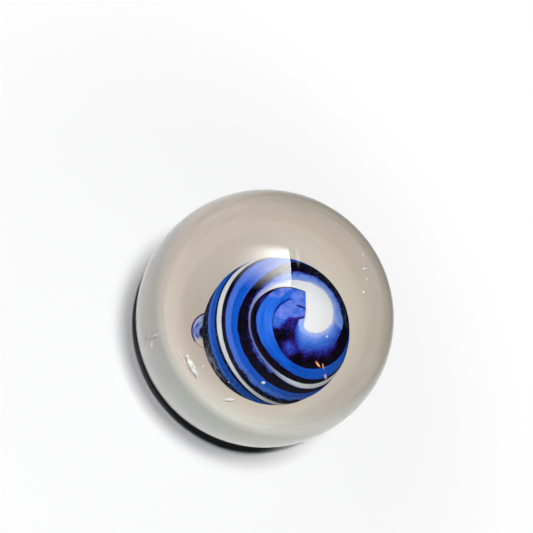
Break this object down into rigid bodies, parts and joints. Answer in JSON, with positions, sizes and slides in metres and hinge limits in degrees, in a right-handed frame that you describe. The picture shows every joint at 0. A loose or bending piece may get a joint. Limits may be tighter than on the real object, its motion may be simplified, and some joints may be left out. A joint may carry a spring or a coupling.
{
  "type": "glass marble",
  "caption": "Clear glass ball cased round a small dark glass core that is wound with blue, pale blue and white swirl trails.",
  "frame": {"origin": "the centre of the ball", "axes": "+Z is the axis that the swirl's trails wind about, towards its white head; +X and +Y make a right-handed set, with the core set off towards +X and -Y"},
  "size_m": [0.025, 0.025, 0.025],
  "materials": {
    "clear_glass": "polished clear glass with a faint smoky beige tone and a few seed bubbles",
    "dark_glass": "near-black blue glass, opaque",
    "blue_glass": "opaque streaky cobalt blue glass",
    "pale_blue_glass": "soft-edged pale blue glass, opaque",
    "white_glass": "opaque white glass",
    "film_glass": "thin pale blue film of glass"
  },
  "bodies": {
    "root": {"clear_casing": "clear_glass", "dark_core": "dark_glass", "blue_trail": "blue_glass", "pale_trail": "pale_blue_glass", "white_trail": "white_glass", "tail_film": "film_glass"}
  },
  "joints": []
}
